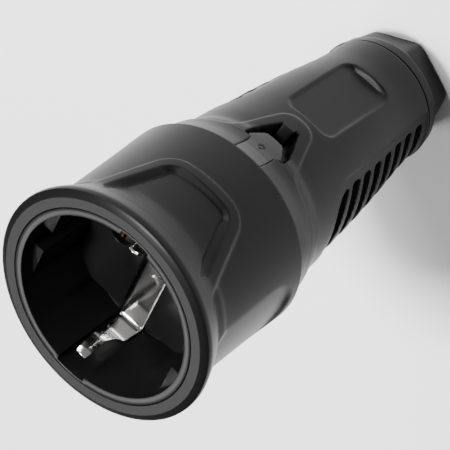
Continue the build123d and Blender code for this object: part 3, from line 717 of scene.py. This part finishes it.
        # panel with a flat sloping floor
        middle = (self.panel_front + self.panel_rear) / 2
        half_length = (self.panel_rear - self.panel_front) / 2
        panel = corner(
            self.panel_half_width - np.abs(side), half_length - np.abs(station - middle), self.panel_corner
        )
        share = (station - self.panel_front) / (self.panel_rear - self.panel_front)
        reach = self.panel_front_reach + (self.panel_rear_reach - self.panel_front_reach) * share
        floor = np.minimum(reach / np.maximum(top, 0.3), shaped)
        mask = np.where(above, soft_ramp(panel, 0.5, 0.14), 0.0)
        shaped = shaped + (floor - shaped) * mask
        # window with a ramp at its rear, and the slot for the neck of the tongue
        half = np.interp(station, *zip(*self.window))
        ends = np.minimum(station - self.window[0][0], self.window[-1][0] - station)
        window = corner(half - np.abs(side), ends, 0.5)
        neck = np.minimum(self.neck_half_width - np.abs(side), self.window[0][0] + 0.5 - station)
        opening = np.where(above, np.maximum(window, neck), -9.0)
        ramp = self.ramp_reach + (station - self.ramp_front)
        pit = np.where(station > self.window_step_front, self.window_step, self.window_floor)
        on_ramp = soft_ramp(station - self.ramp_front, 0.3, 0.1) * soft_ramp(
            self.ramp_half_width - np.abs(side - self.ramp_side), 0.25, 0.08
        )
        pit = pit + (np.maximum(ramp, pit) - pit) * on_ramp
        pit = np.where(station < self.bore_end, self.bore_radius + self.bore_skin, pit)
        shaped = shaped + (np.minimum(pit, shaped) - shaped) * soft_ramp(opening, 0.22, 0.08)
        # round edges at the seam and at the rear end
        start = np.clip((self.front + self.front_round - station) / self.front_round, 0, 1)
        end = np.clip((station - (self.rear - self.rear_round)) / self.rear_round, 0, 1)
        shaped = shaped - self.front_round * (1 - np.sqrt(1 - start**2))
        return shaped - self.rear_round * (1 - np.sqrt(1 - end**2))

    def build(self, rest: Rest) -> None:
        """Builds the shell in place of its node."""
        lines = stations(
            (34.0, 34.4, 0.1), (34.4, 40.2, 0.55), (40.2, 41.2, 0.17), (41.2, 47.2, 0.42),
            (47.2, 51.2, 0.2), (51.2, 56.8, 0.4), (56.8, 79.3, 0.42), (79.3, 80.4, 0.22), (80.4, 89.4, 0.42),
            (89.4, 90.2, 0.12),
        )
        inside = [
            (self.spigot_radius, self.rear),
            (self.spigot_radius, self.thread_end),
            (self.gland_radius, self.thread_end),
            *self.wire_space,
            (self.bore_radius, 45.1),
            (self.bore_radius, self.front),
        ]
        piece = TurnedPiece("handle_shell", lines, inside, self.radius, self.steps, self.crowd).build(rest)
        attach(piece, "housing")
        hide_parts("rear_shell")
        Finish.SHELL.dress(piece)
        LOG.info("handle shell: %d faces", len(piece.data.polygons))


@dataclass
class GlandNut:
    """The nut of the cable gland: a round collar and a tapered hexagon."""

    front: float = 90.4
    hex_front: float = 93.0
    rear: float = 99.8
    inner_rear: float = 98.4
    collar_radius: float = 13.45
    collar_rear_radius: float = 13.1
    flat_front: float = 11.6
    taper: float = 10.5
    corner_cut: float = 0.32
    front_round: float = 0.3
    steps: int = 480
    thread_radius: float = 9.1
    bore_radius: float = 6.5
    rear_round: float = 0.9

    def radius(self, angle: np.ndarray, station: np.ndarray) -> np.ndarray:
        """The outer radius of the nut.

        Args:
            angle: Angle from the top, in radians.
            station: Distance from the mouth.

        Returns:
            The radius at each place.
        """
        flat = self.flat_front - (station - self.hex_front) * math.tan(math.radians(self.taper))
        third = math.pi / 3
        turned = np.mod(angle, third) - third / 2
        face = flat / np.cos(turned)
        point = flat / math.cos(third / 2) - self.corner_cut
        hexagon = soft_min(face, point, 0.5)
        share = (station - self.front) / (self.hex_front - self.front)
        collar = self.collar_radius + (self.collar_rear_radius - self.collar_radius) * share
        stepped = soft_ramp(station - self.hex_front, 0.35, 0.12)
        shaped = collar + (np.minimum(hexagon, collar) - collar) * stepped
        shaped = np.where(station > self.hex_front + 0.6, hexagon, shaped)
        start = np.clip((self.front + self.front_round - station) / self.front_round, 0, 1)
        end = np.clip((station - (self.rear - self.rear_round)) / self.rear_round, 0, 1)
        shaped = shaped - self.front_round * (1 - np.sqrt(1 - start**2))
        return shaped - self.rear_round * (1 - np.sqrt(1 - end**2))

    def build(self, rest: Rest) -> None:
        """Builds the nut in place of its node."""
        lines = stations(
            (90.4, 90.8, 0.1), (90.8, 92.8, 0.4), (92.8, 93.8, 0.1), (93.8, 98.8, 0.5), (98.8, 99.8, 0.1)
        )
        inside = [
            (self.bore_radius + 0.5, self.rear),
            (self.bore_radius, self.rear - 0.4),
            (self.bore_radius, self.inner_rear),
            (self.thread_radius, self.inner_rear),
            (self.thread_radius, self.front),
        ]
        piece = TurnedPiece("gland_cap", lines, inside, self.radius, self.steps).build(rest)
        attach(piece, "nut")
        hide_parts("gland_nut")
        Finish.GLAND.dress(piece)
        LOG.info("gland nut: %d faces", len(piece.data.polygons))


FLAT_WITHIN = 1.0
SHARP_FROM = 35.0


def softened(node: bpy.types.Object, name: str, rest: Rest, width: float) -> bpy.types.Object:
    """A copy of a CAD node with its sharp edges rounded.

    Args:
        node: The CAD node.
        name: The copy's name.
        rest: Where the coupler stands.
        width: Width of the rounded edges, in millimetres.

    Returns:
        The copy, linked to the scene.
    """
    made = bmesh.new()
    made.from_mesh(node.data)
    bmesh.ops.transform(made, matrix=rest.matrix().inverted(), verts=made.verts)
    bmesh.ops.remove_doubles(made, verts=made.verts, dist=0.001)
    bmesh.ops.dissolve_limit(
        made,
        angle_limit=math.radians(FLAT_WITHIN),
        verts=made.verts,
        edges=made.edges,
        use_dissolve_boundaries=False,
    )
    sharp = [e for e in made.edges if e.is_manifold and e.calc_face_angle() > math.radians(SHARP_FROM)]
    bmesh.ops.bevel(
        made, geom=sharp, offset=width, affect="EDGES", segments=2, profile=0.5, material=-1, clamp_overlap=True
    )
    bmesh.ops.triangulate(made, faces=made.faces)
    mesh = bpy.data.meshes.new(name)
    made.to_mesh(mesh)
    made.free()
    return finish_mesh(mesh, name, rest)


@dataclass
class EarthBracket:
    """The sprung nickel strip: flat across the floor, folded up at both ends into contact fingers."""

    half_line: tuple[tuple[float, float, float], ...] = (
        (0.0, 19.0, 2.75),
        (18.6, 19.0, 2.75),
        (19.3, 18.88, 2.75),
        (19.75, 18.5, 2.75),
        (19.9, 17.9, 2.6),
        (19.9, 16.6, 2.42),
        (19.9, 14.7, 2.38),
        (19.72, 13.9, 2.2),
        (19.2, 13.1, 1.75),
        (18.3, 11.8, 1.3),
        (16.3, 8.9, 1.25),
        (15.5, 7.75, 1.28),
        (15.1, 7.0, 1.34),
        (14.95, 6.2, 1.4),
        (15.0, 5.2, 1.42),
        (15.3, 3.9, 1.42),
        (15.8, 2.6, 1.36),
        (16.3, 1.75, 1.2),
        (16.55, 1.5, 1.05),
    )
    rows: int = 180
    columns: int = 10
    thickness: float = 0.48
    edge: float = 0.1
    flat_front: float = 18.9
    crease: float = 60.0
    pad_end: float = 7.2
    crown: float = 0.22
    dimple_reach: float = 15.2
    dimple_radius: float = 0.75
    dimple_depth: float = 0.16

    def _row(self, number: int, count: int) -> Vector:
        """Reach, station and half width at one row across the strip."""
        place = abs(2 * number / count - 1) * (len(self.half_line) - 1)
        first = min(int(place), len(self.half_line) - 2)
        return Vector(self.half_line[first]).lerp(Vector(self.half_line[first + 1]), place - first)

    def build(self, rest: Rest) -> None:
        """Builds the strip in place of its node."""
        made = bmesh.new()
        bmesh.ops.create_grid(made, x_segments=self.rows, y_segments=self.columns, size=1.0)
        for vert in made.verts:
            number = round((vert.co.x + 1) / 2 * self.rows)
            across = vert.co.y
            reach, station, half = self._row(number, self.rows)
            hand = -1.0 if number * 2 < self.rows else 1.0
            if station < self.pad_end:
                reach -= self.crown * (1 - across**2)
            from_dimple = math.hypot(reach - self.dimple_reach, half * across)
            if hand > 0 and station > self.flat_front and from_dimple < self.dimple_radius:
                station += self.dimple_depth
            vert.co = Vector((reach * hand, half * across, station))
        bmesh.ops.smooth_vert(made, verts=made.verts, factor=0.5, use_axis_x=True, use_axis_z=True)
        bmesh.ops.recalc_face_normals(made, faces=made.faces)
        mesh = bpy.data.meshes.new("earth_strip")
        made.to_mesh(mesh)
        made.free()
        piece = finish_mesh(mesh, "earth_strip", rest, self.crease)
        if mesh.polygons[len(mesh.polygons) // 2].normal.dot(rest.axis) > 0:
            mesh.flip_normals()
        wall = piece.modifiers.new("thickness", "SOLIDIFY")
        wall.thickness = self.thickness * MM
        wall.offset = -1.0
        edges = piece.modifiers.new("edges", "BEVEL")
        edges.width = self.edge * MM
        edges.segments = 2
        edges.limit_method = "ANGLE"
        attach(piece, "housing")
        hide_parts("earth_bracket")
        Finish.NICKEL.dress(piece)
        LOG.info("earth strip: %d faces", len(piece.data.polygons))


Profile = tuple[tuple[float, float], ...]


@dataclass
class LatchHead:
    """The arrow-headed tongue that shows in the window, on its rounded root."""

    half_width: Profile = ((27.0, 3.2), (39.7, 3.05), (41.1, 4.15), (44.1, 2.35), (44.5, 1.8))
    top: Profile = (
        (26.96, 19.5), (27.1, 19.95), (27.4, 20.2), (27.8, 20.3), (34.1, 20.3), (34.2, 21.85),
        (36.0, 21.15), (38.0, 20.48), (40.0, 20.08), (42.0, 19.8), (44.5, 19.35),
    )
    under: Profile = (
        (26.96, 19.4), (27.1, 18.95), (27.4, 18.7), (27.8, 18.6), (35.2, 18.6), (35.4, 16.9), (44.5, 16.9)
    )
    rows: int = 96
    columns: int = 34
    pip_place: tuple[float, float] = (-0.2, 39.8)
    pip_inner: float = 0.32
    pip_outer: float = 0.72
    pip_depth: float = 0.2
    edge: float = 0.13
    rim_from: float = 60.0

    def build(self, rest: Rest) -> None:
        """Builds the tongue in place of its node."""
        made = bmesh.new()
        bmesh.ops.create_grid(made, x_segments=self.rows, y_segments=self.columns, size=1.0)
        first, last = self.top[0][0], self.top[-1][0]
        for vert in made.verts:
            station = first + (last - first) * (vert.co.x + 1) / 2
            side = vert.co.y * np.interp(station, *zip(*self.half_width))
            from_pip = math.hypot(side - self.pip_place[0], station - self.pip_place[1])
            reach = np.interp(station, *zip(*self.top))
            reach -= self.pip_depth if self.pip_inner < from_pip < self.pip_outer else 0.0
            vert.co = Vector((math.sqrt(reach**2 - side**2), side, station))
        grown = bmesh.ops.extrude_face_region(made, geom=made.faces[:])["geom"]
        for vert in (item for item in grown if isinstance(item, bmesh.types.BMVert)):
            vert.co.x = np.interp(vert.co.z, *zip(*self.under))
        bmesh.ops.recalc_face_normals(made, faces=made.faces)
        rim = [edge for edge in made.edges if edge.calc_face_angle(0.0) > math.radians(self.rim_from)]
        bmesh.ops.bevel(
            made,
            geom=rim,
            offset=self.edge,
            affect="EDGES",
            segments=2,
            profile=0.5,
            material=-1,
            clamp_overlap=True,
        )
        mesh = bpy.data.meshes.new("latch_head")
        made.to_mesh(mesh)
        made.free()
        piece = finish_mesh(mesh, "latch_head", rest)
        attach(piece, "latch")
        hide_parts("latch_tongue")
        Finish.LATCH.dress(piece)
        LOG.info("latch head: %d faces", len(piece.data.polygons))


@dataclass
class SocketWell:
    """The black well with its guide lobes, blocks and pin holes."""

    edge: float = 0.08

    def build(self, rest: Rest, node: bpy.types.Object) -> None:
        """Builds the well in place of its node."""
        piece = softened(node, "socket_well", rest, self.edge)
        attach(piece, "housing")
        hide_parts("socket_insert")
        Finish.INSERT.dress(piece)
        LOG.info("socket well: %d faces", len(piece.data.polygons))


@dataclass
class InnerWorks:
    """The nodes that keep their CAD shape and only take a finish."""

    finishes: dict[str, Finish] = field(
        default_factory=lambda: {
            "contact_carrier": Finish.CARRIER,
            "earth_rivet": Finish.NICKEL,
            "line_contact": Finish.BRASS,
            "neutral_contact": Finish.BRASS,
            "earth_terminal": Finish.BRASS,
            "line_sleeve_spring": Finish.STEEL,
            "neutral_sleeve_spring": Finish.STEEL,
            "terminal_screws": Finish.STEEL,
            "clamp_plates": Finish.STEEL,
            "carrier_screws": Finish.STEEL,
            "insert_gasket": Finish.SEAL,
            "cable_seal": Finish.SEAL,
            "clamp_collet": Finish.GLAND,
            "thrust_ring": Finish.GLAND,
        }
    )

    def build(self, nodes: dict[str, bpy.types.Object]) -> None:
        """Dresses the nodes.

        Args:
            nodes: The CAD nodes by name.
        """
        for name, finish in self.finishes.items():
            finish.dress(nodes[name])
        LOG.info("inner works: %d nodes dressed", len(self.finishes))


@dataclass
class Studio:
    """Floor, soft lights and the camera of the photograph."""

    camera_place: tuple[float, float, float] = (495.6, 148.8, -410.4)
    camera_look: tuple[float, float, float] = (-0.725, -0.215, 0.654)
    camera_up: tuple[float, float, float] = (0.607, -0.649, 0.459)
    focal_pixels: float = 3493.68
    picture_pixels: float = 450.0
    sensor: float = 36.0
    floor_size: float = 4.0
    floor_tone: float = 0.93
    lamps: tuple[tuple[str, tuple[float, float, float], float, float], ...] = (
        ("key", (0.52, 0.60, 0.41), 0.5, 8.0),
        ("overhead", (0.16, 0.16, 0.83), 0.18, 20.0),
        ("well", (-0.51, 0.15, 0.54), 0.25, 3.0),
    )
    lit_station: float = 45.0
    sky: float = 0.2

    def floor(self) -> None:
        """A plain pale floor under the coupler."""
        made = bmesh.new()
        bmesh.ops.create_grid(made, x_segments=1, y_segments=1, size=self.floor_size)
        mesh = bpy.data.meshes.new("floor")
        made.to_mesh(mesh)
        made.free()
        floor = bpy.data.objects.new("floor", mesh)
        bpy.context.scene.collection.objects.link(floor)
        graph = Graph("pale_floor")
        floor.data.materials.append(
            graph.surface({"Base Color": grey(self.floor_tone), "Roughness": 0.9, "Specular IOR Level": 0.1})
        )

    def light(self, name: str, place: Vector, target: Vector, size: float, power: float) -> None:
        """Adds one soft square light.

        Args:
            name: The light's name.
            place: Where it hangs.
            target: What it faces.
            size: Its width, in metres.
            power: Its power, in watts.
        """
        data = bpy.data.lights.new(name, "AREA")
        data.shape = "SQUARE"
        data.size = size
        data.energy = power
        lamp = bpy.data.objects.new(name, data)
        lamp.location = place
        lamp.rotation_euler = (target - place).to_track_quat("-Z", "Y").to_euler()
        bpy.context.scene.collection.objects.link(lamp)

    def camera(self, rest: Rest) -> None:
        """Sets the camera at the photograph's place, turn and lens."""
        back = -rest.direction(*self.camera_look)
        up = rest.direction(*self.camera_up)
        right = up.cross(back).normalized()
        up = back.cross(right)
        turn = Matrix((right, up, back)).transposed()
        data = bpy.data.cameras.new("camera")
        data.sensor_width = self.sensor
        data.lens = self.sensor * self.focal_pixels / self.picture_pixels
        data.clip_start = 0.01
        data.clip_end = 20.0
        camera = bpy.data.objects.new("camera", data)
        camera.matrix_world = Matrix.Translation(rest.point(*self.camera_place)) @ turn.to_4x4()
        bpy.context.scene.collection.objects.link(camera)
        bpy.context.scene.camera = camera

    def build(self, rest: Rest) -> None:
        """Builds the whole set."""
        self.floor()
        self.camera(rest)
        world = bpy.data.worlds.new("sky")
        world.use_nodes = True
        background = world.node_tree.nodes["Background"]
        background.inputs["Color"].default_value = (1.0, 1.0, 1.0, 1.0)
        background.inputs["Strength"].default_value = self.sky
        bpy.context.scene.world = world
        middle = rest.point(0, 0, self.lit_station)
        for name, offset, size, power in self.lamps:
            self.light(name, middle + Vector(offset), middle, size, power)
        LOG.info("studio set")


def main() -> None:
    """Builds the coupler and its set."""
    logging.basicConfig(level=logging.INFO)
    rest = Rest.from_record(frame["record"])
    Studio().build(rest)
    FrontShell().build(rest)
    RearShell().build(rest)
    GlandNut().build(rest)
    SocketWell().build(rest, frame["nodes"]["socket_insert"])
    EarthBracket().build(rest)
    LatchHead().build(rest)
    InnerWorks().build(frame["nodes"])


if __name__ == "__main__":
    main()
